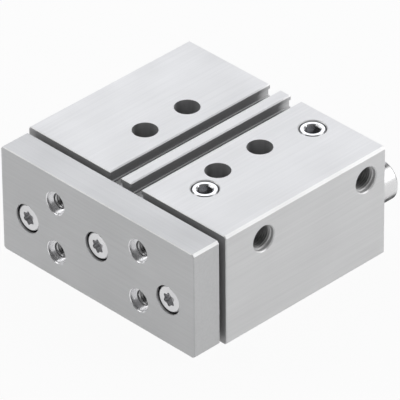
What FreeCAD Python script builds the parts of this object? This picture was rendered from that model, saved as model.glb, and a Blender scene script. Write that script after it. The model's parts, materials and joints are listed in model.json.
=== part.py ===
import FreeCAD, Part
import math
import os

Vec = FreeCAD.Vector

# Guided pneumatic cylinder, in millimetres. X runs across the housing, Y from the yoke to the
# rear and Z up. The origin is the centre of the four mounting holes, on the underside.
# The yoke is drawn back against the rear stop, as it stands with no air behind the piston.

# Housing block. Its length follows from the stroke and what the bore holds, 76 in all, and its
# width from the bores and the walls between them, 95 in all.
stroke = 25.0
body_height = 44.0
side_wall = 4.45
guide_wall = 4.45
long_edge_chamfer = 0.9
end_edge_chamfer = 0.3

# Mounting holes: screwed from above through a deep counterbore, or into the thread below
mount_pitch_y = 20.0
mount_row_behind_plug = 10.6
mount_bore_wall = 1.9
mount_thread_diameter = 6.0
mount_thread_depth = 12.0
mount_through_diameter = 5.2
mount_counterbore_diameter = 9.2
mount_counterbore_depth = 12.0

# Sensor slots along the top
slot_pitch = 10.0
slot_mouth = 5.0
slot_lip = 1.8
slot_undercut = 6.6
slot_depth = 4.6
slot_channel_width = 5.2
slot_channel_depth = 0.6
slot_floor_wall = 1.2
slot_mouth_chamfer = 0.4

# Air ports in the right side, with a plugged port above each
port_below_top = 9.2
port_from_front = 17.8
port_from_rear = 9.3
port_thread_diameter = 9.73
port_thread_depth = 8.5
port_mouth_chamfer = 0.335
gallery_diameter = 3.5
gallery_wall = 0.45
plug_outside_mount = 4.6
front_plug_ahead_of_port = 2.4
plug_sink = 0.2
plug_floor_gap = 0.8
plug_edge_chamfer = 0.6
plug_socket_across_flats = 5.0
plug_socket_depth = 3.4

# Cylinder bore, its end caps and their retaining rings
bore_diameter = 25.0
cap_seat_step = 0.5
ring_groove_step = 0.6
ring_setback = 1.3
ring_thickness = 1.2
ring_width = 2.5
ring_edge_chamfer = 0.1
ring_opening_angle = 44.0
ring_lug_radius = 1.9
ring_lug_outset = 0.5
ring_eye_radius = 0.9
cap_edge_chamfer = 0.5
o_ring_section = 1.6
o_ring_groove_width = 2.1
cap_web = 2.0
rod_seal_section = 3.0
rod_seal_depth = 4.2
rod_seal_wiper_length = 1.05
rod_seal_cup_depth = 1.5
seal_lip_width = 0.6
cushion_thickness = 1.5
cushion_wall = 3.25
cushion_chamfer = 0.3
rear_cap_dish_diameter = 14.0
rear_cap_dish_depth = 0.8

# Piston and piston rod
rod_diameter = 10.0
rod_tail_diameter = 8.0
rod_end_chamfer = 0.6
piston_boss_wall = 1.7
piston_boss_length = 2.6
piston_web = 1.1
piston_seal_section = 3.1
piston_seal_width = 3.2
piston_seal_cup_depth = 1.7
piston_seal_heel_step = 0.35
piston_guide_ring_section = 1.6
piston_guide_ring_width = 4.0
piston_magnet_section = 3.0
piston_magnet_width = 4.0
piston_band_chamfer = 0.2
nut_across_flats = 13.0
nut_thickness = 3.5
nut_chamfer = 0.6
nut_recess_clearance = 0.3

# Guide rods and their plain bearings
guide_rod_diameter = 16.0
guide_below_top = 25.0
guide_rod_overhang = 13.0
guide_rod_end_chamfer = 1.0
guide_rod_centre_diameter = 3.2
guide_rod_centre_depth = 2.0
bush_wall = 1.0
bush_chamfer = 0.25
guide_bush_length = 20.0
front_bush_setback = 3.5
rear_bush_setback = 1.0
wiper_length = 2.8
wiper_setback = 0.3
wiper_lip_length = 1.25
wiper_lip_width = 1.0
wiper_tip_width = 0.15

# Yoke plate, a little smaller than the housing all round
yoke_inset = 1.0
yoke_thickness = 12.0
yoke_gap = 2.0
yoke_thread_pitch_x = 40.0
yoke_thread_pitch_z = 20.0
yoke_thread_diameter = 6.0
centring_diameter = 9.0
centring_depth = 2.1
rod_socket_depth = 1.5

# Screws that hold the rods on the yoke
screw_diameter = 6.0
screw_engagement = 12.0
screw_hole_clearance = 0.3
screw_head_diameter = 10.0
screw_head_height = 4.0
screw_head_chamfer = 0.5
screw_counterbore_clearance = 0.5
screw_sink = 0.5
screw_hole_spare_depth = 2.0
lobe_tip_diameter = 5.4
lobe_root_diameter = 3.9
lobe_depth = 2.2

# Clearances, on the radius or along the axis
seat_clearance = 0.02
running_clearance = 0.03
seal_clearance = 0.06
piston_clearance = 0.25
thread_clearance = 0.03
ring_clearance = 0.05
stop_clearance = 0.1

# How far a cutting shape runs on past the face that it opens
past = 1.0

# Across the housing: the bore, then a mounting hole and a guide bore on each side
cap_seat_radius = bore_diameter / 2 + cap_seat_step
ring_groove_radius = cap_seat_radius + ring_groove_step
guide_bore_radius = guide_rod_diameter / 2 + running_clearance + bush_wall + seat_clearance
mount_x = cap_seat_radius + mount_bore_wall + mount_through_diameter / 2
guide_x = mount_x + mount_thread_diameter / 2 + guide_wall + guide_bore_radius
plug_x = mount_x + plug_outside_mount
body_width = 2 * (guide_x + guide_bore_radius + side_wall)

# Up the housing: the sensor slots stand over the bore, and the ports beside it
slot_channel_floor = slot_depth + slot_channel_depth
bore_z = body_height - slot_channel_floor - slot_floor_wall - ring_groove_radius
guide_z = body_height - guide_below_top
port_z = body_height - port_below_top
yoke_z = body_height / 2

# Along the housing: each gallery opens into the bore just inside an end cap, beside its stop
gallery_radius = gallery_diameter / 2
gallery_to_cap = gallery_radius + gallery_wall
stop_length = cushion_thickness + stop_clearance
piston_groove_widths = {
    "front_seal": piston_seal_width,
    "guide_ring": piston_guide_ring_width,
    "magnet": piston_magnet_width,
    "rear_seal": piston_seal_width,
}
piston_land_length = sum(piston_groove_widths.values()) + piston_web * (len(piston_groove_widths) + 1)
piston_length = piston_land_length + 2 * piston_boss_length
front_stack = port_from_front - gallery_to_cap + stop_length
rear_stack = port_from_rear - gallery_to_cap + stop_length
body_length = front_stack + stroke + piston_length + rear_stack

front_plug_from_front = port_from_front - front_plug_ahead_of_port
front_y = -(front_plug_from_front + mount_row_behind_plug + mount_pitch_y / 2)
rear_y = front_y + body_length
yoke_rear_y = front_y - yoke_gap
yoke_front_y = yoke_rear_y - yoke_thickness
rod_seat_y = yoke_rear_y - rod_socket_depth

front_port_y = front_y + port_from_front
rear_port_y = rear_y - port_from_rear
front_plug_y = front_y + front_plug_from_front
plug_hole_depth = port_below_top - gallery_to_cap
plug_length = plug_hole_depth - plug_sink - plug_floor_gap

front_cap_inner_y = front_port_y - gallery_to_cap
rear_cap_inner_y = rear_port_y + gallery_to_cap
front_ring_y = front_y + ring_setback
rear_ring_y = rear_y - ring_setback - ring_thickness
front_cap_outer_y = front_ring_y + ring_thickness + ring_clearance
rear_cap_outer_y = rear_ring_y - ring_clearance

piston_rear_y = rear_cap_inner_y - stop_length
piston_front_y = piston_rear_y - piston_length
piston_radius = bore_diameter / 2 - piston_clearance
nut_corner_radius = nut_across_flats / math.sqrt(3)
nut_recess_radius = nut_corner_radius + nut_recess_clearance
nut_seat_y = piston_rear_y - nut_thickness - stop_clearance

# Where the guide rods stand, left and right
guide_places = {"left": -guide_x, "right": guide_x}


def rod_along_y(radius, start_y, end_y, x, z):
    """A round bar along Y between two places."""
    return Part.makeCylinder(radius, end_y - start_y, Vec(x, start_y, z), Vec(0, 1, 0))


def post_along_z(radius, low_z, high_z, x, y):
    """A round bar along Z between two heights."""
    return Part.makeCylinder(radius, high_z - low_z, Vec(x, y, low_z), Vec(0, 0, 1))


def turned(outline, x, z):
    """A turned piece about an axis along Y, from a closed outline of (radius, y) points."""
    points = [Vec(x + radius, y, z) for radius, y in outline]
    face = Part.Face(Part.makePolygon(points + points[:1]))
    return face.revolve(Vec(x, 0, z), Vec(0, 1, 0), 360)


def sleeve(inner_radius, outer_radius, start_y, end_y, x, z, chamfer):
    """A plain bearing or ring: a tube along Y with its outer edges chamfered."""
    outline = [
        (inner_radius, start_y),
        (outer_radius - chamfer, start_y),
        (outer_radius, start_y + chamfer),
        (outer_radius, end_y - chamfer),
        (outer_radius - chamfer, end_y),
        (inner_radius, end_y),
    ]
    return turned(outline, x, z)


def block(width, start_y, end_y, low_z, high_z):
    """A bar sawn from profile: its long edges chamfered as drawn, its sawn ends deburred."""
    half = width / 2
    cut = long_edge_chamfer
    corners = [
        (-half + cut, low_z), (half - cut, low_z), (half, low_z + cut), (half, high_z - cut),
        (half - cut, high_z), (-half + cut, high_z), (-half, high_z - cut), (-half, low_z + cut),
    ]
    points = [Vec(x, start_y, z) for x, z in corners]
    bar = Part.Face(Part.makePolygon(points + points[:1])).extrude(Vec(0, end_y - start_y, 0))
    end_edges = []
    for edge in bar.Edges:
        first, last = edge.Vertexes[0].Point, edge.Vertexes[-1].Point
        if abs(first.y - last.y) < 1e-6:
            end_edges.append(edge)
    return bar.makeChamfer(end_edge_chamfer, end_edges)


def hexagon(across_flats, start, direction):
    """A hexagonal bar from a point along a direction, which is along Y or Z."""
    radius = across_flats / math.sqrt(3)
    points = []
    for k in range(6):
        angle = math.radians(60 * k)
        reach, rise = radius * math.cos(angle), radius * math.sin(angle)
        if direction.y:
            points.append(start + Vec(reach, 0, rise))
        else:
            points.append(start + Vec(reach, rise, 0))
    return Part.Face(Part.makePolygon(points + points[:1])).extrude(direction)


def sensor_slot(x):
    """The space of one T-shaped sensor slot, with a shallow channel in its floor."""
    half_mouth, half_undercut, half_channel = slot_mouth / 2, slot_undercut / 2, slot_channel_width / 2
    right_side = [
        (half_mouth + slot_mouth_chamfer + past, past),
        (half_mouth, -slot_mouth_chamfer),
        (half_mouth, -slot_lip),
        (half_undercut, -slot_lip),
        (half_undercut, -slot_depth),
        (half_channel, -slot_depth),
        (half_channel, -slot_channel_floor),
    ]
    left_side = [(-across, rise) for across, rise in reversed(right_side)]
    start_y, run = front_y - past, body_length + 2 * past
    points = [Vec(x + across, start_y, body_height + rise) for across, rise in right_side + left_side]
    return Part.Face(Part.makePolygon(points + points[:1])).extrude(Vec(0, run, 0))


def mounting_hole(x, y):
    """The space of one mounting hole: counterbore above, through hole, thread below."""
    top, floor = body_height + past, body_height - mount_counterbore_depth
    through = post_along_z(mount_through_diameter / 2, -past, top, x, y)
    thread = post_along_z(mount_thread_diameter / 2, -past, mount_thread_depth, x, y)
    counterbore = post_along_z(mount_counterbore_diameter / 2, floor, top, x, y)
    return through.fuse([thread, counterbore])


def side_port(y):
    """The space of one air port: thread, chamfered mouth and the gallery into the bore."""
    across = Vec(1, 0, 0)
    side_x = body_width / 2
    floor_x = side_x - port_thread_depth
    thread_radius, chamfer = port_thread_diameter / 2, port_mouth_chamfer
    mouth_radius = thread_radius + chamfer
    thread = Part.makeCylinder(thread_radius, port_thread_depth + past, Vec(floor_x, y, port_z), across)
    mouth = Part.makeCone(thread_radius, mouth_radius, chamfer, Vec(side_x - chamfer, y, port_z), across)
    tip_x = floor_x - (thread_radius - gallery_radius)
    tip = Part.makeCone(gallery_radius, thread_radius, floor_x - tip_x, Vec(tip_x, y, port_z), across)
    end_x = gallery_diameter
    gallery = Part.makeCylinder(gallery_radius, floor_x - end_x, Vec(end_x, y, port_z), across)
    return thread.fuse([mouth, tip, gallery])


def plugged_port(y):
    """The space of one plugged port: thread, chamfered mouth and the drilling to the gallery."""
    thread_radius, chamfer = port_thread_diameter / 2, port_mouth_chamfer
    floor_z = body_height - plug_hole_depth
    thread = post_along_z(thread_radius, floor_z, body_height + past, plug_x, y)
    mouth_low = Vec(plug_x, y, body_height - chamfer)
    mouth = Part.makeCone(thread_radius, thread_radius + chamfer, chamfer, mouth_low, Vec(0, 0, 1))
    drilling = post_along_z(gallery_radius, port_z, floor_z, plug_x, y)
    return thread.fuse([mouth, drilling])


def ring_groove(y):
    """The space of the groove that a retaining ring springs into."""
    start_y, end_y = y - ring_clearance, y + ring_thickness + ring_clearance
    return rod_along_y(ring_groove_radius, start_y, end_y, 0, bore_z)


def make_housing():
    """Extruded block with sensor slots, bored for the cylinder and guides, drilled for air."""
    body = block(body_width, front_y, rear_y, 0, body_height)
    ahead, behind = front_y - past, rear_y + past
    spaces = []
    for side in (-1, 1):
        spaces.append(sensor_slot(side * slot_pitch / 2))
        for row in (-1, 1):
            spaces.append(mounting_hole(side * mount_x, row * mount_pitch_y / 2))
    bore = rod_along_y(bore_diameter / 2, ahead, behind, 0, bore_z)
    front_seat = rod_along_y(cap_seat_radius, ahead, front_cap_inner_y, 0, bore_z)
    rear_seat = rod_along_y(cap_seat_radius, rear_cap_inner_y, behind, 0, bore_z)
    spaces.append(bore.fuse([front_seat, rear_seat, ring_groove(front_ring_y), ring_groove(rear_ring_y)]))
    for x in guide_places.values():
        spaces.append(rod_along_y(guide_bore_radius, ahead, behind, x, guide_z))
    spaces.append(side_port(front_port_y).fuse(plugged_port(front_plug_y)))
    spaces.append(side_port(rear_port_y).fuse(plugged_port(rear_port_y)))
    for space in spaces:
        body = body.cut(space)
    return body


def cap_outline(outer_y, inner_y, groove_y):
    """The outer half of an end cap's outline, from its outer face inwards, with the O-ring groove."""
    radius = cap_seat_radius - seat_clearance
    inward = 1 if inner_y > outer_y else -1
    floor = radius - o_ring_section
    half_groove = o_ring_groove_width / 2
    return [
        (radius - cap_edge_chamfer, outer_y),
        (radius, outer_y + inward * cap_edge_chamfer),
        (radius, groove_y - inward * half_groove),
        (floor, groove_y - inward * half_groove),
        (floor, groove_y + inward * half_groove),
        (radius, groove_y + inward * half_groove),
        (radius, inner_y),
    ]


def make_front_cap():
    """Bearing cap: seal pocket at the front, rod bush behind a web, O-ring groove outside."""
    groove_y = (front_cap_outer_y + front_cap_inner_y) / 2
    pocket_radius = rod_diameter / 2 + rod_seal_section
    rod_hole_radius = rod_diameter / 2 + piston_clearance
    bush_seat_radius = rod_diameter / 2 + running_clearance + bush_wall + seat_clearance
    pocket_floor_y = front_cap_outer_y + rod_seal_depth
    bush_seat_y = pocket_floor_y + cap_web
    outline = cap_outline(front_cap_outer_y, front_cap_inner_y, groove_y) + [
        (bush_seat_radius, front_cap_inner_y),
        (bush_seat_radius, bush_seat_y),
        (rod_hole_radius, bush_seat_y),
        (rod_hole_radius, pocket_floor_y),
        (pocket_radius, pocket_floor_y),
        (pocket_radius, front_cap_outer_y),
    ]
    return turned(outline, 0, bore_z)


def make_rod_bush():
    """Plain bearing of the piston rod, pressed into the cap from inside."""
    inner = rod_diameter / 2 + running_clearance
    start_y = front_cap_outer_y + rod_seal_depth + cap_web
    return sleeve(inner, inner + bush_wall, start_y, front_cap_inner_y, 0, bore_z, bush_chamfer)


def make_rod_seal():
    """Rod seal and wiper in one: a heel in the cap's pocket, two lips on the rod."""
    outer = rod_diameter / 2 + rod_seal_section - seat_clearance
    lip = rod_diameter / 2 + seal_clearance
    waist = (outer + lip) / 2
    relief = (waist + lip) / 2
    front, back = front_cap_outer_y, front_cap_outer_y + rod_seal_depth
    heel_y = front + rod_seal_wiper_length
    cup_floor_y = back - rod_seal_cup_depth
    outline = [
        (lip, front),
        (relief, heel_y),
        (outer, heel_y),
        (outer, back),
        (waist, back),
        (relief, cup_floor_y),
        (lip, back),
        (lip, back - seal_lip_width),
        (relief, cup_floor_y - seal_lip_width),
        (lip, front + seal_lip_width),
    ]
    return turned(outline, 0, bore_z)


def make_rear_cap():
    """Blind end cap with a turned dish outside and the O-ring groove round it."""
    groove_y = (rear_cap_outer_y + rear_cap_inner_y) / 2
    dish_radius = rear_cap_dish_diameter / 2
    dish_y = rear_cap_outer_y - rear_cap_dish_depth
    outline = cap_outline(rear_cap_outer_y, rear_cap_inner_y, groove_y) + [
        (0, rear_cap_inner_y),
        (0, dish_y),
        (dish_radius - rear_cap_dish_depth, dish_y),
        (dish_radius, rear_cap_outer_y),
    ]
    return turned(outline, 0, bore_z)


def make_cap_o_ring(outer_y, inner_y):
    """O-ring in an end cap's groove."""
    section_radius = o_ring_section / 2 - seat_clearance
    ring_radius = cap_seat_radius - o_ring_section / 2 - seat_clearance
    return Part.makeTorus(ring_radius, section_radius, Vec(0, (outer_y + inner_y) / 2, bore_z), Vec(0, 1, 0))


def make_retaining_ring(start_y):
    """Internal retaining ring: an open ring with two lugs whose eyes take the pliers."""
    end_y = start_y + ring_thickness
    outer = ring_groove_radius - ring_clearance
    inner = outer - ring_width
    ring = sleeve(inner, outer, start_y, end_y, 0, bore_z, ring_edge_chamfer)
    half_opening = math.radians(ring_opening_angle / 2)
    reach = 2 * outer
    across, drop = reach * math.sin(half_opening), reach * math.cos(half_opening)
    corners = [(0, 0), (-across, -drop), (across, -drop)]
    points = [Vec(x, start_y - past, bore_z + z) for x, z in corners]
    wedge = Part.Face(Part.makePolygon(points + points[:1])).extrude(Vec(0, ring_thickness + 2 * past, 0))
    ring = ring.cut(wedge)
    lug_distance = inner + ring_lug_outset
    lug_angle = half_opening + ring_lug_radius / lug_distance
    for side in (-1, 1):
        x = side * lug_distance * math.sin(lug_angle)
        z = bore_z - lug_distance * math.cos(lug_angle)
        ring = ring.fuse(rod_along_y(ring_lug_radius, start_y, end_y, x, z))
        ring = ring.cut(rod_along_y(ring_eye_radius, start_y - past, end_y + past, x, z))
    return ring.removeSplitter()


def make_cushion(start_y):
    """Rubber stop ring bonded to the inside of an end cap."""
    inner = rod_diameter / 2 + piston_clearance
    end_y = start_y + cushion_thickness
    return sleeve(inner, inner + cushion_wall, start_y, end_y, 0, bore_z, cushion_chamfer)


def piston_grooves():
    """Where the piston's grooves start and end, and their depth, as name: (start_y, end_y, section)."""
    sections = {
        "front_seal": piston_seal_section,
        "guide_ring": piston_guide_ring_section,
        "magnet": piston_magnet_section,
        "rear_seal": piston_seal_section,
    }
    grooves = {}
    y = piston_front_y + piston_boss_length + piston_web
    for name, width in piston_groove_widths.items():
        grooves[name] = (y, y + width, sections[name])
        y += width + piston_web
    return grooves


def make_piston():
    """Piston with bosses at both ends, four grooves, and a recess for the nut behind."""
    land_start = piston_front_y + piston_boss_length
    land_end = piston_rear_y - piston_boss_length
    boss_radius = nut_recess_radius + piston_boss_wall
    bore_radius = rod_tail_diameter / 2 + seat_clearance
    outline = [
        (bore_radius, piston_front_y),
        (boss_radius, piston_front_y),
        (boss_radius, land_start),
        (piston_radius, land_start),
    ]
    for start_y, end_y, section in piston_grooves().values():
        floor = bore_diameter / 2 - section
        outline += [(piston_radius, start_y), (floor, start_y), (floor, end_y), (piston_radius, end_y)]
    outline += [
        (piston_radius, land_end),
        (boss_radius, land_end),
        (boss_radius, piston_rear_y),
        (nut_recess_radius, piston_rear_y),
        (nut_recess_radius, nut_seat_y),
        (bore_radius, nut_seat_y),
    ]
    return turned(outline, 0, bore_z)


def make_piston_seals():
    """Two lip seals, back to back, each open towards its own pressure side."""
    lip = bore_diameter / 2 - seal_clearance
    seals = []
    for name, outward in (("front_seal", -1), ("rear_seal", 1)):
        start_y, end_y, section = piston_grooves()[name]
        heel_y, lip_y = (end_y, start_y) if outward < 0 else (start_y, end_y)
        heel_y += outward * seal_clearance
        lip_y -= outward * seal_clearance
        floor = bore_diameter / 2 - section + seat_clearance
        middle = (floor + lip) / 2
        outline = [
            (floor, heel_y),
            (lip - piston_seal_heel_step, heel_y),
            (lip, lip_y),
            (lip - seal_lip_width, lip_y),
            (middle, lip_y - outward * piston_seal_cup_depth),
            (floor + seal_lip_width, lip_y),
            (floor, lip_y),
        ]
        seals.append(turned(outline, 0, bore_z))
    return Part.makeCompound(seals)


def make_piston_band(groove, outer_radius):
    """A ring that fills one of the piston's grooves out to a radius."""
    start_y, end_y, section = piston_grooves()[groove]
    inner = bore_diameter / 2 - section + seat_clearance
    start_y, end_y = start_y + seat_clearance, end_y - seat_clearance
    return sleeve(inner, outer_radius, start_y, end_y, 0, bore_z, piston_band_chamfer)


def make_piston_nut():
    """Low hexagon nut that clamps the piston against the rod's shoulder."""
    hexagon_bar = hexagon(nut_across_flats, Vec(0, nut_seat_y, bore_z), Vec(0, nut_thickness, 0))
    hole_radius = rod_tail_diameter / 2 + thread_clearance
    end_y = nut_seat_y + nut_thickness
    rounded = sleeve(hole_radius, nut_corner_radius, nut_seat_y, end_y, 0, bore_z, nut_chamfer)
    return hexagon_bar.common(rounded)


def screw_hole_in_rod(x, z):
    """The space of the tapped hole in a rod's front end, with its drill point."""
    radius = screw_diameter / 2 + thread_clearance
    floor_y = rod_seat_y + screw_engagement + screw_hole_spare_depth
    hole = rod_along_y(radius, rod_seat_y - past, floor_y, x, z)
    return hole.fuse(Part.makeCone(radius, 0, radius / 2, Vec(x, floor_y, z), Vec(0, 1, 0)))


def make_piston_rod():
    """Ground rod with a shoulder for the piston and a tail for its nut."""
    radius, tail = rod_diameter / 2, rod_tail_diameter / 2
    outline = [
        (0, rod_seat_y),
        (radius - rod_end_chamfer, rod_seat_y),
        (radius, rod_seat_y + rod_end_chamfer),
        (radius, piston_front_y),
        (tail, piston_front_y),
        (tail, piston_rear_y - rod_end_chamfer - stop_clearance),
        (tail - rod_end_chamfer, piston_rear_y - stop_clearance),
        (0, piston_rear_y - stop_clearance),
    ]
    return turned(outline, 0, bore_z).cut(screw_hole_in_rod(0, bore_z))


def make_guide_rod(x):
    """Ground guide rod: tapped at the yoke, chamfered and centre-drilled at the rear."""
    radius, chamfer = guide_rod_diameter / 2, guide_rod_end_chamfer
    end_y = rear_y + guide_rod_overhang
    centre_radius = guide_rod_centre_diameter / 2
    outline = [
        (0, rod_seat_y),
        (radius - rod_end_chamfer, rod_seat_y),
        (radius, rod_seat_y + rod_end_chamfer),
        (radius, end_y - chamfer),
        (radius - chamfer, end_y),
        (centre_radius, end_y),
        (0, end_y - guide_rod_centre_depth),
    ]
    return turned(outline, x, guide_z).cut(screw_hole_in_rod(x, guide_z))


def make_guide_bush(x, start_y):
    """Plain bearing of a guide rod, pressed into the housing."""
    inner = guide_rod_diameter / 2 + running_clearance
    end_y = start_y + guide_bush_length
    return sleeve(inner, inner + bush_wall, start_y, end_y, x, guide_z, bush_chamfer)


def make_guide_wiper(x):
    """Wiper ring in the mouth of a guide bore, its lip leaning out over the rod."""
    outer = guide_rod_diameter / 2 + running_clearance + bush_wall
    lip = guide_rod_diameter / 2 + seal_clearance
    root = (outer + lip) / 2
    start_y = front_y + wiper_setback
    heel_y, end_y = start_y + wiper_lip_length, start_y + wiper_length
    outline = [
        (lip, start_y),
        (lip + wiper_tip_width, start_y),
        (root, heel_y),
        (outer, heel_y),
        (outer, end_y),
        (root, end_y),
        (lip, start_y + wiper_lip_width),
    ]
    return turned(outline, x, guide_z)


def screw_places():
    """Centres of the three rods, where their screws pass the yoke."""
    places = [(x, guide_z) for x in guide_places.values()]
    places.insert(1, (0, bore_z))
    return places


def make_yoke_plate():
    """Plate with rod sockets behind, screw counterbores and centred threads in front."""
    width = body_width - 2 * yoke_inset
    plate = block(width, yoke_front_y, yoke_rear_y, yoke_inset, body_height - yoke_inset)
    ahead, behind = yoke_front_y - past, yoke_rear_y + past
    hole_radius = screw_diameter / 2 + screw_hole_clearance
    counterbore_radius = screw_head_diameter / 2 + screw_counterbore_clearance
    counterbore_floor_y = yoke_front_y + screw_sink + screw_head_height
    centring_floor_y = yoke_front_y + centring_depth
    for x, z in screw_places():
        rod_radius = rod_diameter / 2 if x == 0 else guide_rod_diameter / 2
        plate = plate.cut(rod_along_y(hole_radius, ahead, behind, x, z))
        plate = plate.cut(rod_along_y(counterbore_radius, ahead, counterbore_floor_y, x, z))
        plate = plate.cut(rod_along_y(rod_radius + seat_clearance, rod_seat_y, behind, x, z))
    for side in (-1, 1):
        for row in (-1, 1):
            x, z = side * yoke_thread_pitch_x / 2, yoke_z + row * yoke_thread_pitch_z / 2
            plate = plate.cut(rod_along_y(yoke_thread_diameter / 2, ahead, behind, x, z))
            plate = plate.cut(rod_along_y(centring_diameter / 2, ahead, centring_floor_y, x, z))
    return plate


def six_lobe_space(x, y, z):
    """The space of a six-lobe driver recess, from a head's face inwards."""
    lobe_radius = (lobe_tip_diameter - lobe_root_diameter) / 2
    lobe_distance = lobe_tip_diameter / 2 - lobe_radius
    space = rod_along_y(lobe_root_diameter / 2, y - past, y + lobe_depth, x, z)
    for k in range(6):
        angle = math.radians(60 * k)
        lobe_x, lobe_z = x + lobe_distance * math.cos(angle), z + lobe_distance * math.sin(angle)
        space = space.fuse(rod_along_y(lobe_radius, y - past, y + lobe_depth, lobe_x, lobe_z))
    return space


def make_yoke_screws():
    """Three flat-headed screws through the yoke into the rods."""
    screws = []
    head_y = yoke_front_y + screw_sink
    neck_y = head_y + screw_head_height
    head_radius, shank_radius = screw_head_diameter / 2, screw_diameter / 2
    tip_y = rod_seat_y + screw_engagement
    for x, z in screw_places():
        outline = [
            (0, head_y),
            (head_radius - screw_head_chamfer, head_y),
            (head_radius, head_y + screw_head_chamfer),
            (head_radius, neck_y),
            (shank_radius, neck_y),
            (shank_radius, tip_y - rod_end_chamfer),
            (shank_radius - rod_end_chamfer, tip_y),
            (0, tip_y),
        ]
        screws.append(turned(outline, x, z).cut(six_lobe_space(x, head_y, z)))
    return Part.makeCompound(screws)


def make_port_plugs():
    """Two hexagon-socket plugs that close the upper ports."""
    plugs = []
    top_z = body_height - plug_sink
    radius = port_thread_diameter / 2 - thread_clearance
    for y in (front_plug_y, rear_port_y):
        plug = post_along_z(radius, top_z - plug_length, top_z, plug_x, y)
        rims = [edge for edge in plug.Edges if len(edge.Vertexes) == 1]
        plug = plug.makeChamfer(plug_edge_chamfer, rims)
        socket_start = Vec(plug_x, y, top_z - plug_socket_depth)
        socket = hexagon(plug_socket_across_flats, socket_start, Vec(0, 0, plug_socket_depth + past))
        plugs.append(plug.cut(socket))
    return Part.makeCompound(plugs)


rear_cushion_y = rear_cap_inner_y - cushion_thickness
rear_bush_y = rear_y - rear_bush_setback - guide_bush_length
magnet_radius = piston_radius - piston_clearance
guide_ring_radius = bore_diameter / 2 - seal_clearance

pieces = {
    "housing": make_housing(),
    "port_plugs": make_port_plugs(),
    "front_bearing_cap": make_front_cap(),
    "front_cap_o_ring": make_cap_o_ring(front_cap_outer_y, front_cap_inner_y),
    "front_retaining_ring": make_retaining_ring(front_ring_y),
    "rod_bush": make_rod_bush(),
    "rod_seal": make_rod_seal(),
    "front_cushion": make_cushion(front_cap_inner_y),
    "rear_cap": make_rear_cap(),
    "rear_cap_o_ring": make_cap_o_ring(rear_cap_outer_y, rear_cap_inner_y),
    "rear_retaining_ring": make_retaining_ring(rear_ring_y),
    "rear_cushion": make_cushion(rear_cushion_y),
    "yoke_plate": make_yoke_plate(),
    "yoke_screws": make_yoke_screws(),
    "piston_rod": make_piston_rod(),
    "piston": make_piston(),
    "piston_seals": make_piston_seals(),
    "piston_guide_ring": make_piston_band("guide_ring", guide_ring_radius),
    "piston_magnet": make_piston_band("magnet", magnet_radius),
    "piston_nut": make_piston_nut(),
}
for side, x in guide_places.items():
    pieces["guide_rod_" + side] = make_guide_rod(x)
    pieces["guide_bush_front_" + side] = make_guide_bush(x, front_y + front_bush_setback)
    pieces["guide_bush_rear_" + side] = make_guide_bush(x, rear_bush_y)
    pieces["guide_wiper_" + side] = make_guide_wiper(x)

os.makedirs("parts", exist_ok=True)
for name, shape in pieces.items():
    shape.exportStep(os.path.join("parts", name + ".step"))
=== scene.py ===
import json
import math

import bmesh
import bpy
import numpy as np
from mathutils import Matrix, Vector


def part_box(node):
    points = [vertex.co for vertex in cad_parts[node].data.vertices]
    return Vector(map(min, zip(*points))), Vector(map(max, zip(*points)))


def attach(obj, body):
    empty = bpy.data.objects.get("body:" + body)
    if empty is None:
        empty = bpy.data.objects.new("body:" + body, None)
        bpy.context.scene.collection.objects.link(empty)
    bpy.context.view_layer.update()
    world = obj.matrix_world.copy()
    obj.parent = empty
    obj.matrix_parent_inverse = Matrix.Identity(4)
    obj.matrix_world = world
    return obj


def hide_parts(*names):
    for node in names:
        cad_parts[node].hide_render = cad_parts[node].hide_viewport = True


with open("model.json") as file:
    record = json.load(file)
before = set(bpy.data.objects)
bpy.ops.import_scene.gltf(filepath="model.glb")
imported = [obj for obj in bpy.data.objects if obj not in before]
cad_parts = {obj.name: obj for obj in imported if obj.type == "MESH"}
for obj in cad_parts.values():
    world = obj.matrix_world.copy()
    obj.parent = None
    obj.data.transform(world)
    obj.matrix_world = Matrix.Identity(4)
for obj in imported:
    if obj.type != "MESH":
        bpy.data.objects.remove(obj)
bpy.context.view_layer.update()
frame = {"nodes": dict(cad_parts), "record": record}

# Camera. It looks down on the corner between the yoke and the air-port side, through a long lens
# from about two metres, so the parallel edges of the block stay almost parallel.
view_azimuth = math.radians(45.708)
view_elevation = math.radians(34.221)
view_roll = math.radians(-0.548)
view_distance = 1.92955
view_aim = Vector((0.0, -0.00275, 0.019))
view_lens = 510.23
view_shift = (0.0071, 0.0070)


def direction(azimuth, elevation):
    """Unit vector to a place in the room; azimuth 0 is in front of the yoke and grows to the right."""
    level = math.cos(elevation)
    return Vector((math.sin(azimuth) * level, -math.cos(azimuth) * level, math.sin(elevation)))


backward = direction(view_azimuth, view_elevation)
level_right = Vector((math.cos(view_azimuth), math.sin(view_azimuth), 0))
level_up = backward.cross(level_right)
camera_right = math.cos(view_roll) * level_right + math.sin(view_roll) * level_up
camera_up = math.cos(view_roll) * level_up - math.sin(view_roll) * level_right
camera = bpy.data.objects.new("camera", bpy.data.cameras.new("camera"))
camera.data.lens = view_lens
camera.data.shift_x, camera.data.shift_y = view_shift
camera.data.clip_start = 0.1
camera.data.clip_end = 100
camera.matrix_world = Matrix((camera_right, camera_up, backward)).transposed().to_4x4()
camera.matrix_world.translation = view_aim + view_distance * backward
bpy.context.scene.collection.objects.link(camera)
bpy.context.scene.camera = camera
bpy.context.scene.view_settings.view_transform = "Standard"

# Floor. A wide sweep of pale board. The lens and polished metal see it as nearly white, while the
# block still throws its shadow on it.
floor_half_width = 20.0
floor_drop = 0.0001
floor_colour = (0.80, 0.80, 0.80, 1)
floor_whiteness = 0.94


def new_tree(owner):
    """Empties the node tree of a material or a world and returns it."""
    owner.use_nodes = True
    owner.node_tree.nodes.clear()
    return owner.node_tree


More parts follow.
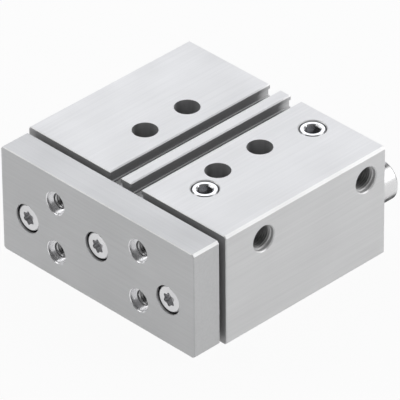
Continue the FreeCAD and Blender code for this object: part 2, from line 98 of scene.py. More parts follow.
def add_node(tree, kind, inputs=(), **settings):
    """Adds a node with its settings, and fills or links the inputs that are given as (name, value)."""
    node = tree.nodes.new("ShaderNode" + kind)
    for name, value in settings.items():
        setattr(node, name, value)
    for name, value in inputs:
        if isinstance(value, bpy.types.NodeSocket):
            tree.links.new(value, node.inputs[name])
        else:
            node.inputs[name].default_value = value
    return node


def seen_directly(tree):
    """1 for rays that come from the lens or from a mirror-like or clear surface, 0 for diffuse light."""
    path = add_node(tree, "LightPath").outputs
    mirrored = add_node(tree, "Math", [(0, path["Is Glossy Ray"]), (1, path["Is Transmission Ray"])],
                        operation="MAXIMUM")
    return add_node(tree, "Math", [(0, path["Is Camera Ray"]), (1, mirrored.outputs[0])],
                    operation="MAXIMUM").outputs[0]


floor_material = bpy.data.materials.new("pale_board")
tree = new_tree(floor_material)
board = add_node(tree, "BsdfDiffuse", [("Color", floor_colour)])
white = add_node(tree, "Emission", [("Color", (1, 1, 1, 1)), ("Strength", 1.0)])
share = add_node(tree, "Math", [(0, seen_directly(tree)), (1, floor_whiteness)], operation="MULTIPLY")
mixed = add_node(tree, "MixShader", [(0, share.outputs[0]), (1, board.outputs[0]), (2, white.outputs[0])])
add_node(tree, "OutputMaterial", [("Surface", mixed.outputs[0])])
floor_mesh = bpy.data.meshes.new("floor")
floor_corners = [(x * floor_half_width, y * floor_half_width, -floor_drop)
                 for x, y in ((-1, -1), (1, -1), (1, 1), (-1, 1))]
floor_mesh.from_pydata(floor_corners, [], [(0, 1, 2, 3)])
floor_mesh.materials.append(floor_material)
floor = bpy.data.objects.new("floor", floor_mesh)
bpy.context.scene.collection.objects.link(floor)

# Room. White all round at eye level and dim overhead, so that polished metal has white walls to show
# and what opens upwards stays dark inside.
ceiling_level = 0.16
white_up_to = 0.20
dim_from = 0.35
ambient_level = 0.22
world = bpy.data.worlds.new("studio")
bpy.context.scene.world = world
tree = new_tree(world)
place = add_node(tree, "TexCoord").outputs["Generated"]
height = add_node(tree, "SeparateXYZ", [("Vector", place)]).outputs["Z"]
wall = add_node(tree, "MapRange", [("Value", height), ("From Min", white_up_to), ("From Max", dim_from),
                                   ("To Min", 1.0), ("To Max", ceiling_level)])
level = add_node(tree, "Mix", [("Factor", seen_directly(tree)), ("A", ambient_level),
                               ("B", wall.outputs[0])], data_type="FLOAT")
sky = add_node(tree, "Background", [("Color", (1, 1, 1, 1)), ("Strength", level.outputs[0])])
add_node(tree, "OutputWorld", [("Surface", sky.outputs[0])])

# Soft boxes. The large one stands behind the block on the left and lights its top, the second
# draws the bright line on the right edge and on the rod, and the small one lifts the front.
soft_boxes = {
    "key": dict(azimuth=232, elevation=42, distance=0.9, side=0.9, radiance=1.42),
    "edge": dict(azimuth=136, elevation=31, distance=0.9, side=0.6, radiance=2.0),
    "front": dict(azimuth=-46, elevation=35, distance=0.9, side=0.4, radiance=2.0),
}
daylight = (0.955, 0.965, 1.0)
for name, box in soft_boxes.items():
    lamp = bpy.data.objects.new(name, bpy.data.lights.new(name, "AREA"))
    lamp.data.color = daylight if name == "key" else (1, 1, 1)
    lamp.data.size = box["side"]
    lamp.data.energy = math.pi * box["side"] ** 2 * box["radiance"]
    aim = direction(math.radians(box["azimuth"]), math.radians(box["elevation"]))
    lamp.location = view_aim + box["distance"] * aim
    lamp.rotation_euler = aim.to_track_quat("Z", "Y").to_euler()
    bpy.context.scene.collection.objects.link(lamp)

# Dark cards. Two matt grey cards that only polished metal shows: one stands behind the block on
# the left, one lies under the rear end of the right guide rod. They draw the dark edges of the rod;
# the lying one is a painted shadow, standing in for the block's shadow on the floor in reflections.
# Each is given as the two ends of one edge and the way from that edge to the opposite one.
card_places = {
    "standing_card": ((-0.14, 0.12, 0.0), (-0.05, 0.22, 0.0), (0.0, 0.0, 0.09)),
    # The lying card is a painted shadow on the floor under the rod.
    "lying_card": ((-0.01, 0.046, 0.001), (0.045, 0.046, 0.001), (0.0, 0.074, 0.0)),
}
card_colour = (0.18, 0.18, 0.18, 1)
card_material = bpy.data.materials.new("grey_card")
tree = new_tree(card_material)
matt_grey = add_node(tree, "BsdfDiffuse", [("Color", card_colour)])
add_node(tree, "OutputMaterial", [("Surface", matt_grey.outputs[0])])
for name, places in card_places.items():
    first_end, second_end, across = [Vector(place) for place in places]
    card_mesh = bpy.data.meshes.new(name)
    card_mesh.from_pydata([first_end, second_end, second_end + across, first_end + across], [],
                          [(0, 1, 2, 3)])
    card_mesh.materials.append(card_material)
    card = bpy.data.objects.new(name, card_mesh)
    bpy.context.scene.collection.objects.link(card)
    card.visible_camera = card.visible_diffuse = card.visible_shadow = False

# Housing. One length of extruded aluminium bar, sawn, ground on the outside along its length, and
# then clear anodised. The floors of its slots, holes and bores keep the bright metal of the cutters;
# their walls and the face toward the yoke carry painted shade, and the long chamfers a painted highlight.
body_colour = (0.862, 0.864, 0.869, 1)
body_shade = (0.782, 0.784, 0.789, 1)
cut_floor_colour = (0.95, 0.955, 0.96, 1)
# Painted shade: the walls inside the slots and holes are coloured dark, less so near the open ends.
slot_wall_painted_shade = (0.23, 0.23, 0.235, 1)
hole_wall_painted_shade = (0.50, 0.50, 0.505, 1)
# Painted shade: the face toward the gap between housing and plate is coloured dark.
gap_face_painted_shade = (0.44, 0.44, 0.445, 1)
# Painted highlight: the chamfers between the top or the underside and a side are coloured lighter.
edge_painted_highlight = (0.95, 0.95, 0.95, 1)
edge_gain = 0.15
skin_metallic = 0.35
floor_metallic = 0.2
skin_relief = 0.3
skin_depth = 0.0002
cut_depth = 0.0012
cut_from_side = 0.005
past_back = 0.01
chamfer_slope = 0.7
chamfer_play = 0.2
least_facing = 0.3
back_facing = 0.9
slot_power = 12.0
body_cuts = dict(Reach=(1, 0.22, 1), Way=(0, 0, 1), Back=(0, -1, 0), Sides=1.0)
grain_run = (1400.0, 26.0, 1400.0)
grain_marks = dict(scale=1.0, detail=3.0, share=0.55)
grain_clouds = dict(scale=45.0, detail=2.0, share=0.3)
grain_height = 0.00002
grain_unevenness = 0.04


def new_group(name, inputs, outputs):
    """An empty shader node group with named sockets, and its input and output nodes."""
    group = bpy.data.node_groups.new(name, "ShaderNodeTree")
    for way, sockets in (("INPUT", inputs), ("OUTPUT", outputs)):
        for socket, kind in sockets:
            group.interface.new_socket(socket, in_out=way, socket_type="NodeSocket" + kind)
    return group, group.nodes.new("NodeGroupInput").outputs, group.nodes.new("NodeGroupOutput").inputs


def spread(tree, value, low, high):
    """Maps a noise value, which lies mostly between 0.3 and 0.7, to a range."""
    return add_node(tree, "MapRange", [("Value", value), ("From Min", 0.3), ("From Max", 0.7),
                                       ("To Min", low), ("To Max", high)]).outputs[0]


def mix_colours(tree, share, first, second):
    """The first colour where the share is 0 and the second where it is 1."""
    mix = tree.nodes.new("ShaderNodeMix")
    mix.data_type = "RGBA"
    for socket, value in ((mix.inputs[0], share), (mix.inputs[6], first), (mix.inputs[7], second)):
        if isinstance(value, bpy.types.NodeSocket):
            tree.links.new(value, socket)
        else:
            socket.default_value = value
    return mix.outputs[2]


def calculate(tree, operation, first, second=0.0):
    """One Math node."""
    return add_node(tree, "Math", [(0, first), (1, second)], operation=operation).outputs[0]


def product(tree, first, *others):
    """All the values multiplied."""
    for other in others:
        first = calculate(tree, "MULTIPLY", first, other)
    return first


def make_marks_group(name, marks, clouds, height, unevenness):
    """The marks of a tool on metal. Marks are noise on the Place given, and clouds are noise on the
    position, broad and faint. The share of Dark in the colour is the sum of both, each spread from 0
    to its own share. The marks are also the relief, and the clouds change the roughness both ways by
    the unevenness."""
    group, given, result = new_group(
        name,
        [("Place", "Vector"), ("Light", "Color"), ("Dark", "Color"), ("Roughness", "Float"),
         ("Relief", "Float")],
        [("Color", "Color"), ("Roughness", "Float"), ("Normal", "Vector")])
    position = add_node(group, "TexCoord").outputs["Object"]
    noises, shares = [], []
    for place, noise in ((given["Place"], marks), (position, clouds)):
        noises.append(add_node(group, "TexNoise", [("Vector", place), ("Scale", noise["scale"]),
                                                   ("Detail", noise["detail"])]).outputs[0])
        shares.append(spread(group, noises[-1], 0.0, noise["share"]))
    dark_share = calculate(group, "ADD", *shares)
    change = spread(group, noises[1], -unevenness, unevenness)
    bump = add_node(group, "Bump", [("Strength", given["Relief"]), ("Distance", height),
                                    ("Height", noises[0])])
    group.links.new(mix_colours(group, dark_share, given["Light"], given["Dark"]), result["Color"])
    group.links.new(calculate(group, "ADD", given["Roughness"], change), result["Roughness"])
    group.links.new(bump.outputs[0], result["Normal"])
    return group


def make_cut_group():
    """What a point of a drilled and slotted block is part of. Depth grows from 0 at the skin to 1 at
    the cut depth; the distance under the skin is the least distance to the outer faces, each times
    Reach. If Sides is 1, Depth is also 1 on all that faces X well away from the sides. Walls is
    Depth * (1 - |n . way|), where way is the one in which the opening is cut: X beside the side faces
    if Sides is 1, Way elsewhere; it masks painted shade on the walls. Slots is |n . X|^12; the gap
    output is 1 where n is Back, on the face toward the gap, and masks painted shade there; and Edges
    is 1 on the chamfers between the top or the underside and a side, where it masks a painted highlight."""
    group, given, result = new_group(
        "cut_insides",
        [("Centre", "Vector"), ("Half", "Vector"), ("Reach", "Vector"), ("Way", "Vector"),
         ("Back", "Vector"), ("Sides", "Float")],
        [("Depth", "Float"), ("Walls", "Float"), ("Slots", "Float"), ("Rough", "Float"),
         ("Edges", "Float")])
    coordinates = add_node(group, "TexCoord").outputs
    normal = coordinates["Normal"]
    moved = add_node(group, "VectorMath", [(0, coordinates["Object"]), (1, given["Centre"])],
                     operation="SUBTRACT")
    out = add_node(group, "VectorMath", [(0, moved.outputs[0])], operation="ABSOLUTE")
    under = add_node(group, "VectorMath", [(0, given["Half"]), (1, out.outputs[0])], operation="SUBTRACT")
    scaled = add_node(group, "VectorMath", [(0, under.outputs[0]), (1, given["Reach"])],
                      operation="MULTIPLY")
    parts = add_node(group, "SeparateXYZ", [("Vector", scaled.outputs[0])]).outputs

    def deep(distance):
        """0 at the skin depth, 1 at the cut depth."""
        return add_node(group, "MapRange", [("Value", distance), ("From Min", skin_depth),
                                            ("From Max", cut_depth)]).outputs[0]

    def along_normal(way):
        """n . way."""
        return add_node(group, "VectorMath", [(0, normal), (1, way)],
                        operation="DOT_PRODUCT").outputs["Value"]

    least = calculate(group, "MINIMUM", calculate(group, "MINIMUM", parts["X"], parts["Y"]), parts["Z"])
    facing = add_node(group, "SeparateXYZ", [("Vector", normal)]).outputs
    facing_x = calculate(group, "ABSOLUTE", facing["X"])
    facing_z = calculate(group, "ABSOLUTE", facing["Z"])
    oblique = add_node(group, "Math", [(0, facing_z), (1, chamfer_slope), (2, chamfer_play)],
                       operation="COMPARE").outputs[0]
    inner = product(group, calculate(group, "GREATER_THAN", parts["X"], cut_from_side),
                    calculate(group, "GREATER_THAN", facing_x, least_facing),
                    given["Sides"], deep(parts["Y"]))
    depth = calculate(group, "MAXIMUM", deep(least), inner)
    outer = calculate(group, "SUBTRACT", 1.0, depth)
    main_way = calculate(group, "ABSOLUTE", along_normal(given["Way"]))
    beside = product(group, calculate(group, "LESS_THAN", parts["X"], parts["Z"]), given["Sides"])
    along = add_node(group, "MapRange", [("Value", beside), ("To Min", main_way), ("To Max", facing_x)])
    upright = calculate(group, "SUBTRACT", 1.0, along.outputs[0])
    # Mask of the face toward the gap, which gets painted shade.
    rough = calculate(group, "GREATER_THAN", along_normal(given["Back"]), back_facing)
    group.links.new(depth, result["Depth"])
    group.links.new(product(group, depth, upright), result["Walls"])
    group.links.new(calculate(group, "POWER", facing_x, slot_power), result["Slots"])
    group.links.new(rough, result["Rough"])
    group.links.new(product(group, oblique, outer), result["Edges"])
    return group


drawn_grain = make_marks_group("drawn_grain", grain_marks, grain_clouds, grain_height, grain_unevenness)
cut_insides = make_cut_group()


def anodised(name, node_name, light, dark, roughness, run, cuts, painted_wall_shade, wall_metallic, cut_gloss):
    """Ground and anodised skin, whose fine lines lie along the axis in which the run is least; inside
    its openings bright cut metal on the floors and a dark colour on the walls, which is painted shade;
    the face toward the gap painted dark as painted shade; and the chamfers painted light as a painted
    highlight."""
    material = bpy.data.materials.new(name)
    tree = new_tree(material)
    low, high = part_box(node_name)
    back = Vector(cuts["Back"])
    centre = (low + high) / 2 + back * past_back
    half = (high - low) / 2 + Vector([abs(part) for part in back]) * past_back
    position = add_node(tree, "TexCoord").outputs["Object"]
    place = add_node(tree, "Mapping", [("Vector", position), ("Scale", run)]).outputs[0]
    grain = add_node(tree, "Group", [("Place", place), ("Light", light), ("Dark", dark),
                                     ("Roughness", roughness), ("Relief", skin_relief)],
                     node_tree=drawn_grain).outputs
    cut = add_node(tree, "Group", dict(cuts, Centre=centre, Half=half).items(),
                   node_tree=cut_insides).outputs
    floors = mix_colours(tree, cut["Depth"], grain["Color"], cut_floor_colour)
    walls = mix_colours(tree, cut["Slots"], painted_wall_shade, slot_wall_painted_shade)
    inside_colour = mix_colours(tree, cut["Walls"], floors, walls)
    faces = mix_colours(tree, cut["Edges"], inside_colour, edge_painted_highlight)
    colour = mix_colours(tree, cut["Rough"], faces, gap_face_painted_shade)
    metallic = skin_metallic
    for mask, gain in ((cut["Depth"], floor_metallic - skin_metallic),
                       (cut["Walls"], wall_metallic - floor_metallic), (cut["Edges"], edge_gain)):
        metallic = calculate(tree, "ADD", metallic, product(tree, mask, gain))
    rough = calculate(tree, "ADD", grain["Roughness"], product(tree, cut["Depth"], -cut_gloss))
    shader = add_node(tree, "BsdfPrincipled", [("Base Color", colour), ("Roughness", rough),
                                               ("Normal", grain["Normal"]), ("Metallic", metallic)])
    add_node(tree, "OutputMaterial", [("Surface", shader.outputs[0])])
    return material


def dress(node_name, material):
    """Gives a piece of the frame one material."""
    for material_slot in frame["nodes"][node_name].material_slots:
        material_slot.material = material


anodised_body = anodised("anodised_body", "housing", body_colour, body_shade, roughness=0.42,
                         run=grain_run, cuts=body_cuts, painted_wall_shade=hole_wall_painted_shade,
                         wall_metallic=0.2, cut_gloss=0.0)
dress("housing", anodised_body)

# Threads in the housing. The two air ports and the feet of the four mounting holes are tapped: each
# thread is a helical ridge that stands inwards from the wall of its hole. A port has a smooth mouth
# in front of it, and its thread is painted darker further in, as painted shade.
mounts = {mount["name"]: mount for mount in frame["record"]["mounts"]}
wall_gap = 0.00001
turn_points = 72
angles = np.linspace(0, 2 * math.pi, turn_points, endpoint=False)
rows_per_turn = 8
flat_share = 0.1
weld_distance = 1e-7
sharp_angle = math.radians(28)
port_pitch = 0.000907
port_thread_depth = 0.00058
port_thread_reach = 0.0083
mouth_chamfer = 0.00036
mouth_lip = 0.0004
mouth_depth = 0.0011
mouth_lining = 0.00006
screw_pitch = 0.001
screw_thread_depth = 0.0005
mount_thread_depth = 0.012
thread_start_gap = 0.0003
thread_end_gap = 0.0002
# Painted shade: the share of the shade colour painted into the far turns of threads and into sockets.
thread_darkness = 0.8
shade_colour = (0.05, 0.05, 0.05, 1)
ring_marks = dict(scale=9000.0, detail=2.0, share=0.5)
ring_clouds = dict(scale=160.0, detail=3.0, share=0.5)
ring_height = 0.00001
ring_unevenness = 0.05
thread_light = (0.26, 0.26, 0.265, 1)
thread_dark = (0.18, 0.18, 0.185, 1)
mouth_light = (0.95, 0.95, 0.95, 1)
mouth_dark = (0.85, 0.85, 0.855, 1)


def around(axis, centre, along, radius):
    """Points about an axis: centre + along * axis + radius * (cos t, sin t) across it, where along and
    radius are arrays of one row for each ring and one column for each angle t."""
    points = np.empty(along.shape + (3,))
    for part, values in zip({"X": (0, 1, 2), "Y": (1, 2, 0), "Z": (2, 0, 1)}[axis],
                            (along, radius * np.cos(angles), radius * np.sin(angles))):
        points[..., part] = values
    return points + np.array(centre)


def ring(radius, along, shade=0.0):
    """One ring: a radius for each angle, all at one place along the axis, and its painted shade."""
    return np.array([np.broadcast_to(value, (1, turn_points)) for value in (radius, along, shade)])


def thread(start, end, root_radius, crest_radius, pitch):
    """Rings of a screw thread: its height is a triangle wave of along / pitch - angle / 2 pi, with the
    flat share cut off its root and its crest, and it rises from the root over its first and last turn."""
    rows = int(abs(end - start) / pitch * rows_per_turn)
    along = np.broadcast_to(np.linspace(start, end, rows)[:, None], (rows, turn_points))
    phase = along / pitch - angles / (2 * math.pi)
    wave = 1 - np.abs(2 * (phase - np.floor(phase)) - 1)
    rise = np.minimum(np.abs(along - start), np.abs(along - end)) / pitch
    height = np.clip((wave - flat_share) / (1 - 2 * flat_share), 0, 1) * np.clip(rise, 0, 1)
    return np.array([root_radius + (crest_radius - root_radius) * height, along, 0 * along])


def darkened(rings, start, run, least):
    """Rings painted darker along the axis as painted shade deeper in the hole, from the least share at
    the start to the full painted shade of a thread one run further in."""
    radius, along, shade = rings
    share = np.clip(np.abs(along - start) / run, least, 1)
    return np.array([radius, along, shade + thread_darkness * share])


def turned_piece(name, axis, turns, body, material, closed=False):
    """One piece of one or more turned shapes, each given as a centre and its rings. Neighbouring rings
    are joined by quads, and if closed the last ring to the first; rings of no radius become a point.
    Its attribute "turned" holds (radius, along, painted shade) for the material."""
    corners, faces, places, start = [], [], [], 0
    for centre, rings in turns:
        radius, along, shade = np.concatenate(rings, axis=1)
        index = start + np.arange(radius.size).reshape(radius.shape)
        beside = np.roll(index, -1, axis=1)
        quads = np.stack((index, beside, np.roll(beside, -1, axis=0), np.roll(index, -1, axis=0)),
                         axis=-1)
        faces.append((quads if closed else quads[:-1]).reshape(-1, 4))
        corners.append(around(axis, centre, along, radius).reshape(-1, 3))
        places.append(np.stack((radius, along, shade), axis=-1).reshape(-1, 3))
        start += radius.size
    mesh = bpy.data.meshes.new(name)
    mesh.from_pydata(np.concatenate(corners), [], np.concatenate(faces))
    turned = mesh.attributes.new("turned", "FLOAT_VECTOR", "POINT")
    turned.data.foreach_set("vector", np.concatenate(places).ravel())
    work = bmesh.new()
    work.from_mesh(mesh)
    bmesh.ops.remove_doubles(work, verts=work.verts, dist=weld_distance)
    bmesh.ops.recalc_face_normals(work, faces=work.faces)
    work.to_mesh(mesh)
    work.free()
    mesh.shade_smooth()
    mesh.set_sharp_from_angle(angle=sharp_angle)
    mesh.materials.append(material)
    piece = bpy.data.objects.new(name, mesh)
    bpy.context.scene.collection.objects.link(piece)
    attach(piece, body)
    return piece


def tapped(start, end, wall_radius, depth, pitch):
    """The ridge of a tapped hole as a closed ring: the thread inside it, the plain wall outside it."""
    wall = wall_radius - wall_gap
    return [ring(wall, start), thread(start, end, wall - wall_gap, wall - depth, pitch), ring(wall, end)]


def four_places(mount):
    """Places across the axis of a mount's four holes, from their spacings, about their middle."""
    return [(side * mount["dims"]["spacing_x_mm"] / 2000, row * mount["dims"]["spacing_y_mm"] / 2000)
            for side in (-1, 1) for row in (-1, 1)]


turned_rings = make_marks_group("turned_rings", ring_marks, ring_clouds, ring_height, ring_unevenness)


def turned_finish(name, light, dark, roughness, metallic, relief=0.4, centre=None):
    """A finish with turning marks. Its Place (radius, along) is the piece's own attribute, whose third
    part mixes in the shade colour as painted shade, or for a piece of the frame is worked out about
    the Y axis through a centre."""
    material = bpy.data.materials.new(name)
    tree = new_tree(material)
    shade = 0.0
    if centre is None:
        place = add_node(tree, "Attribute", attribute_name="turned").outputs["Vector"]
        shade = add_node(tree, "SeparateXYZ", [("Vector", place)]).outputs["Z"]
    else:
        position = add_node(tree, "TexCoord").outputs["Object"]
        moved = add_node(tree, "VectorMath", [(0, position), (1, centre)], operation="SUBTRACT")
        parts = add_node(tree, "SeparateXYZ", [("Vector", moved.outputs[0])]).outputs
        flat = add_node(tree, "CombineXYZ", [("X", parts["X"]), ("Y", parts["Z"])]).outputs[0]
        radius = add_node(tree, "VectorMath", [(0, flat)], operation="LENGTH").outputs["Value"]
        place = add_node(tree, "CombineXYZ", [("X", radius), ("Y", parts["Y"])]).outputs[0]
    rings = add_node(tree, "Group", [("Place", place), ("Light", light), ("Dark", dark),
                                     ("Roughness", roughness), ("Relief", relief)],
                     node_tree=turned_rings).outputs
    colour = mix_colours(tree, shade, rings["Color"], shade_colour)
    shader = add_node(tree, "BsdfPrincipled", [("Base Color", colour), ("Roughness", rings["Roughness"]),
                                               ("Normal", rings["Normal"]), ("Metallic", metallic)])
    add_node(tree, "OutputMaterial", [("Surface", shader.outputs[0])])
    return material


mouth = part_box("housing")[1].x
port_wall = mounts["air_port_front"]["dims"]["r_mm"] / 1000
port_lining = port_wall - mouth_lining
port_start = mouth - mouth_depth
_, port_thread, port_end = tapped(port_start, mouth - port_thread_reach, port_wall, port_thread_depth,
                                  port_pitch)
# Painted shade: the port threads are coloured darker further into the hole.
port_rings = [ring(port_wall - wall_gap, mouth - mouth_chamfer), ring(port_lining, mouth - mouth_lip),
              ring(port_lining, port_start), darkened(port_thread, port_start, run=0.002, least=0.3),
              port_end]
port_turns = []
for name in ("air_port_front", "air_port_rear"):
    _, y, z = mounts[name]["pos_m"]
    port_turns.append(((0, y, z), port_rings))
mouth_metal = turned_finish("mouth_metal", mouth_light, mouth_dark, roughness=0.40, metallic=0.25)
turned_piece("port_threads", "X", port_turns, "housing", mouth_metal, closed=True)

feet = mounts["base_holes"]
foot_rings = tapped(thread_start_gap, mount_thread_depth - thread_end_gap,
                    feet["dims"]["hole_r_mm"] / 1000, screw_thread_depth, screw_pitch)
foot_turns = [((x, y, 0), foot_rings) for x, y in four_places(feet)]
cut_thread = turned_finish("cut_thread", thread_light, thread_dark, roughness=0.42, metallic=0.6)
turned_piece("mounting_threads", "Z", foot_turns, "housing", cut_thread, closed=True)

# Port plugs. Two zinc-plated screw plugs with a hexagon socket, turned from bar and screwed down
# until their faces lie just under the top of the housing.
zinc_light = (0.90, 0.90, 0.91, 1)
zinc_dark = (0.70, 0.70, 0.72, 1)
plug_edge = 0.0006
plug_lip = 0.0001
plug_thread_depth = 0.00055
plug_easing = 0.00008
socket_flats = 0.005
socket_depth = 0.0034
socket_lead = 0.00025
socket_dark_from = 0.0012
socket_drill = socket_flats / 2.2
socket_cone = 0.0009


def eased(outline, reach, steps=4):
    """Rings of an outline of (radius, along, painted shade) points with eased corners: near each corner
    the line follows the parabola (1-t)^2 A + 2t(1-t) B + t^2 C, where A and C lie a reach from the
    corner B, or a little less than half of a short line."""
    points = [np.array(point, float) for point in outline]
    line = [points[0]]
    for before, corner, after in zip(points, points[1:], points[2:]):
        back, ahead = before - corner, after - corner
        before_length, after_length = np.hypot(*back[:2]), np.hypot(*ahead[:2])
        near = min(reach, before_length / 2.2, after_length / 2.2)
        a = corner + back * near / before_length
        c = corner + ahead * near / after_length
        for t in np.linspace(0, 1, steps):
            line.append((1 - t) ** 2 * a + 2 * t * (1 - t) * corner + t ** 2 * c)
    return [ring(*point) for point in line + [points[-1]]]


def hexagon(across_flats):
    """Radius of a hexagon at each angle: half its width over the cosine of the angle from the middle
    of the nearest flat."""
    return across_flats / 2 / np.cos(np.mod(angles, math.pi / 3) - math.pi / 6)


low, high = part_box("port_plugs")
top = high.z
plug_radius = (high.x - low.x) / 2
plug_core = plug_radius - plug_thread_depth
plug_shoulder = top - plug_edge
socket_floor = top - socket_depth
plug_rings = [ring(0, low.z), ring(plug_core, low.z),
              thread(low.z, plug_shoulder - plug_lip, plug_core, plug_radius, port_pitch)]
# Painted shade: the third values darken the plug's edge in its groove and the walls of its socket.
plug_rings += eased([(plug_core, plug_shoulder - plug_lip, 0.9), (plug_radius, plug_shoulder, 0.9),
                     (plug_radius - plug_edge, top, 0.35), (plug_radius - plug_edge - plug_lip, top, 0),
                     (socket_flats / math.sqrt(3) + socket_lead, top, 0)], plug_easing)
plug_rings += [ring(hexagon(socket_flats), top - 2 * socket_lead, 0.3),
               ring(hexagon(socket_flats), top - socket_dark_from, 0.5),
               ring(hexagon(socket_flats), socket_floor, 0.5),
               ring(socket_drill, socket_floor - plug_lip, 0.3),
               ring(0, socket_floor - socket_cone, 0.3)]
plug_turns = [(((low.x + high.x) / 2, y, 0), plug_rings)
              for y in (low.y + plug_radius, high.y - plug_radius)]
plug_zinc = turned_finish("zinc_plug", zinc_light, zinc_dark, roughness=0.22, metallic=1.0)
plugs = turned_piece("socket_plugs", "Z", plug_turns, "housing", plug_zinc)
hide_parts("port_plugs")

# Caps of the bore. Two turned aluminium caps with O-rings close it, each held by a phosphated
# retaining ring that springs into a groove. The front one carries the bush and the seal of the rod.
aluminium_light = (0.70, 0.71, 0.72, 1)
aluminium_dark = (0.54, 0.55, 0.56, 1)
phosphate_light = (0.17, 0.17, 0.175, 1)
phosphate_dark = (0.10, 0.10, 0.105, 1)
bore_centre = (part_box("rear_cap")[0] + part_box("rear_cap")[1]) / 2
turned_aluminium = turned_finish("turned_aluminium", aluminium_light, aluminium_dark, roughness=0.36,
                                 metallic=0.9, centre=bore_centre)
spring_steel = turned_finish("phosphated_steel", phosphate_light, phosphate_dark, roughness=0.45,
                             metallic=0.7, centre=bore_centre)
for node_name in ("front_bearing_cap", "rear_cap"):
    dress(node_name, turned_aluminium)
for node_name in ("front_retaining_ring", "rear_retaining_ring"):
    dress(node_name, spring_steel)

# Rubber. The O-rings of the caps, the seals of the rod and the piston and the two stops of the
# piston are moulded from black rubber and sit in grooves and recesses of the metal pieces.
rubber_light = (0.035, 0.035, 0.036, 1)
rubber_dark = (0.018, 0.018, 0.019, 1)
bore_rubber = turned_finish("bore_rubber", rubber_light, rubber_dark, roughness=0.6, metallic=0.0,
                            relief=0.2, centre=bore_centre)
for node_name in ("front_cap_o_ring", "rear_cap_o_ring", "rod_seal", "front_cushion", "rear_cushion",
                  "piston_seals"):
    dress(node_name, bore_rubber)

# Bearings. The three rods run in wrapped bronze bushes pressed into their bores, and a rubber wiper
# in front of each guide bush keeps the dirt out.
bronze_light = (0.60, 0.44, 0.24, 1)
bronze_dark = (0.42, 0.30, 0.16, 1)
dress("rod_bush", turned_finish("rod_bronze", bronze_light, bronze_dark, roughness=0.35, metallic=0.9,
                                centre=bore_centre))
for side in ("left", "right"):
    low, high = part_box("guide_bush_front_" + side)
    centre = (low + high) / 2
    bronze = turned_finish("guide_bronze_" + side, bronze_light, bronze_dark, roughness=0.35,
                           metallic=0.9, centre=centre)
    wiper = turned_finish("wiper_rubber_" + side, rubber_light, rubber_dark, roughness=0.6,
                          metallic=0.0, relief=0.2, centre=centre)
    dress("guide_bush_front_" + side, bronze)
    dress("guide_bush_rear_" + side, bronze)
    dress("guide_wiper_" + side, wiper)

# Yoke plate. Flat aluminium bar, milled all round and clear anodised a little darker than the
# housing. It stands in front of it on the ends of the three rods.
plate_colour = (0.73, 0.734, 0.74, 1)
plate_shade = (0.655, 0.659, 0.665, 1)
# Painted shade: the walls of the plate's holes and counterbores are coloured dark.
plate_hole_painted_shade = (0.27, 0.27, 0.275, 1)
plate_cuts = dict(Reach=(1, 1, 1), Way=(0, 1, 0), Back=(0, 1, 0), Sides=0.0)
plate_run = (30.0, 1200.0, 1200.0)
anodised_plate = anodised("anodised_plate", "yoke_plate", plate_colour, plate_shade, roughness=0.45,
                          run=plate_run, cuts=plate_cuts, painted_wall_shade=plate_hole_painted_shade,
                          wall_metallic=0.85, cut_gloss=0.20)
dress("yoke_plate", anodised_plate)

# Tool holes. Four holes in the plate for the user's tooling: each has a bored seat for a centring
# sleeve with a turned lead-in, and a tapped hole through its floor. They are bored after anodising.
seat_radius = 0.0045
seat_lead = 0.0002
bored_light = (0.92, 0.92, 0.93, 1)
bored_dark = (0.78, 0.78, 0.79, 1)
tools = mounts["yoke_holes"]
plate_low, plate_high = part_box("yoke_plate")
seat_wall = seat_radius - wall_gap
seat_inside = seat_wall - seat_lead
seat_floor = tools["pos_m"][1] - 2 * wall_gap
seat_back = seat_floor + wall_gap
tool_wall, tool_thread, tool_back = tapped(seat_floor + thread_start_gap, plate_high.y - thread_end_gap,
                                           tools["dims"]["hole_r_mm"] / 1000, screw_thread_depth,
                                           screw_pitch)
# Painted shade: the tool-hole threads are coloured darker further into the hole.
tool_rings = [ring(seat_wall, plate_low.y + wall_gap), ring(seat_inside, plate_low.y + seat_lead),
              ring(seat_inside, seat_floor), ring(tool_wall[0] - wall_gap, seat_floor),
              darkened(tool_thread, seat_floor, run=0.0015, least=0.0), tool_back,
              ring(tool_wall[0], seat_back), ring(seat_wall, seat_back)]
tool_turns = [((x, 0, tools["pos_m"][2] + z), tool_rings) for x, z in four_places(tools)]
bored_metal = turned_finish("bored_metal", bored_light, bored_dark, roughness=0.28, metallic=0.88)
turned_piece("tool_threads", "Y", tool_turns, "yoke", bored_metal, closed=True)

# Yoke screws. Three zinc-plated flat-headed screws with a six-lobe socket hold the plate to the
# ends of the rods; their heads lie just below its face.
screw_light = (0.74, 0.74, 0.75, 1)
screw_dark = (0.60, 0.60, 0.61, 1)
head_height = 0.004
head_edge = 0.0005
head_easing = 0.00025
recess_rim = 0.0032
recess_lead = 0.0001
recess_dark_from = 0.0005
recess_depth = 0.0021
recess_cone = 0.0026
recess_cone_start = 0.0022
lobe_outside = 0.0026
lobe_inside = 0.00195
shank_radius = 0.00298
shank_core = shank_radius - 0.00053
tip_radius = shank_radius - 0.0008
tip_length = 0.0004


def six_lobes(outside, inside):
    """Radius of a six-lobe recess at each angle t: the mean of its two radii and half their difference
    times cos 6t."""
    return (outside + inside) / 2 + (outside - inside) / 2 * np.cos(6 * angles)


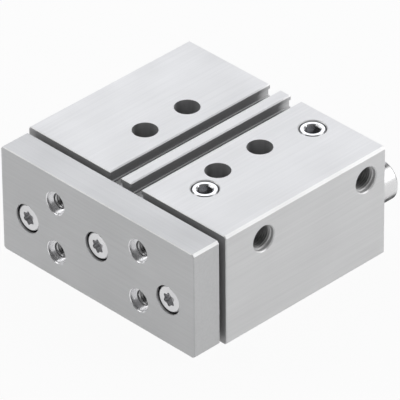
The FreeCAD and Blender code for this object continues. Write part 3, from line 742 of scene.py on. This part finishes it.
low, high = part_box("yoke_screws")
face = low.y
rod_places = {}
for rod in ("guide_rod_left", "piston_rod", "guide_rod_right"):
    rod_low, rod_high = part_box(rod)
    rod_places[rod] = ((rod_low.x + rod_high.x) / 2, 0, (rod_low.z + rod_high.z) / 2)
head_radius = rod_places["guide_rod_left"][2] - low.z
lobes = six_lobes(lobe_outside, lobe_inside)
# Painted shade: the third values darken the six-lobe recess and the side of the head.
screw_rings = [ring(0, face + recess_cone), ring(0.7 * lobes, face + recess_cone_start),
               ring(lobes, face + recess_depth, 0.15), ring(lobes, face + recess_dark_from, 0.1),
               ring(lobes + recess_lead, face)]
screw_rings += eased([(recess_rim, face, 0), (head_radius - head_edge, face, 0),
                      (head_radius, face + head_edge, 0), (head_radius, face + head_height, 0.5),
                      (shank_core, face + head_height, 0)], head_easing)
screw_rings += [thread(face + head_height, high.y - tip_length, shank_core, shank_radius, screw_pitch),
                ring(tip_radius, high.y), ring(0, high.y)]
screw_turns = [(centre, screw_rings) for centre in rod_places.values()]
screw_zinc = turned_finish("zinc_screw", screw_light, screw_dark, roughness=0.30, metallic=1.0)
screws = turned_piece("six_lobe_screws", "Y", screw_turns, "yoke", screw_zinc)
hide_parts("yoke_screws")

# Rods. The piston rod and the two guide rods are ground steel bar with a hard chrome skin. Their
# front ends stand in seats behind the plate, each held by its screw.
chrome_light = (0.74, 0.74, 0.745, 1)
chrome_dark = (0.68, 0.68, 0.685, 1)
for rod, centre in rod_places.items():
    dress(rod, turned_finish("chrome_" + rod, chrome_light, chrome_dark, roughness=0.27, metallic=1.0,
                             relief=0.2, centre=centre))

# Piston. A turned aluminium piston is clamped on the stepped end of the rod by a zinc-plated nut; it
# carries two lip seals, a guide ring of filled polymer and a plastic-bonded ring magnet.
polymer_light = (0.27, 0.24, 0.19, 1)
polymer_dark = (0.20, 0.18, 0.15, 1)
magnet_light = (0.13, 0.13, 0.14, 1)
magnet_dark = (0.09, 0.09, 0.10, 1)
dress("piston", turned_aluminium)
dress("piston_nut", turned_finish("zinc_nut", zinc_light, zinc_dark, roughness=0.30, metallic=1.0,
                                  centre=bore_centre))
dress("piston_guide_ring", turned_finish("guide_band", polymer_light, polymer_dark, roughness=0.55,
                                         metallic=0.0, centre=bore_centre))
dress("piston_magnet", turned_finish("bonded_magnet", magnet_light, magnet_dark, roughness=0.5,
                                     metallic=0.2, centre=bore_centre))
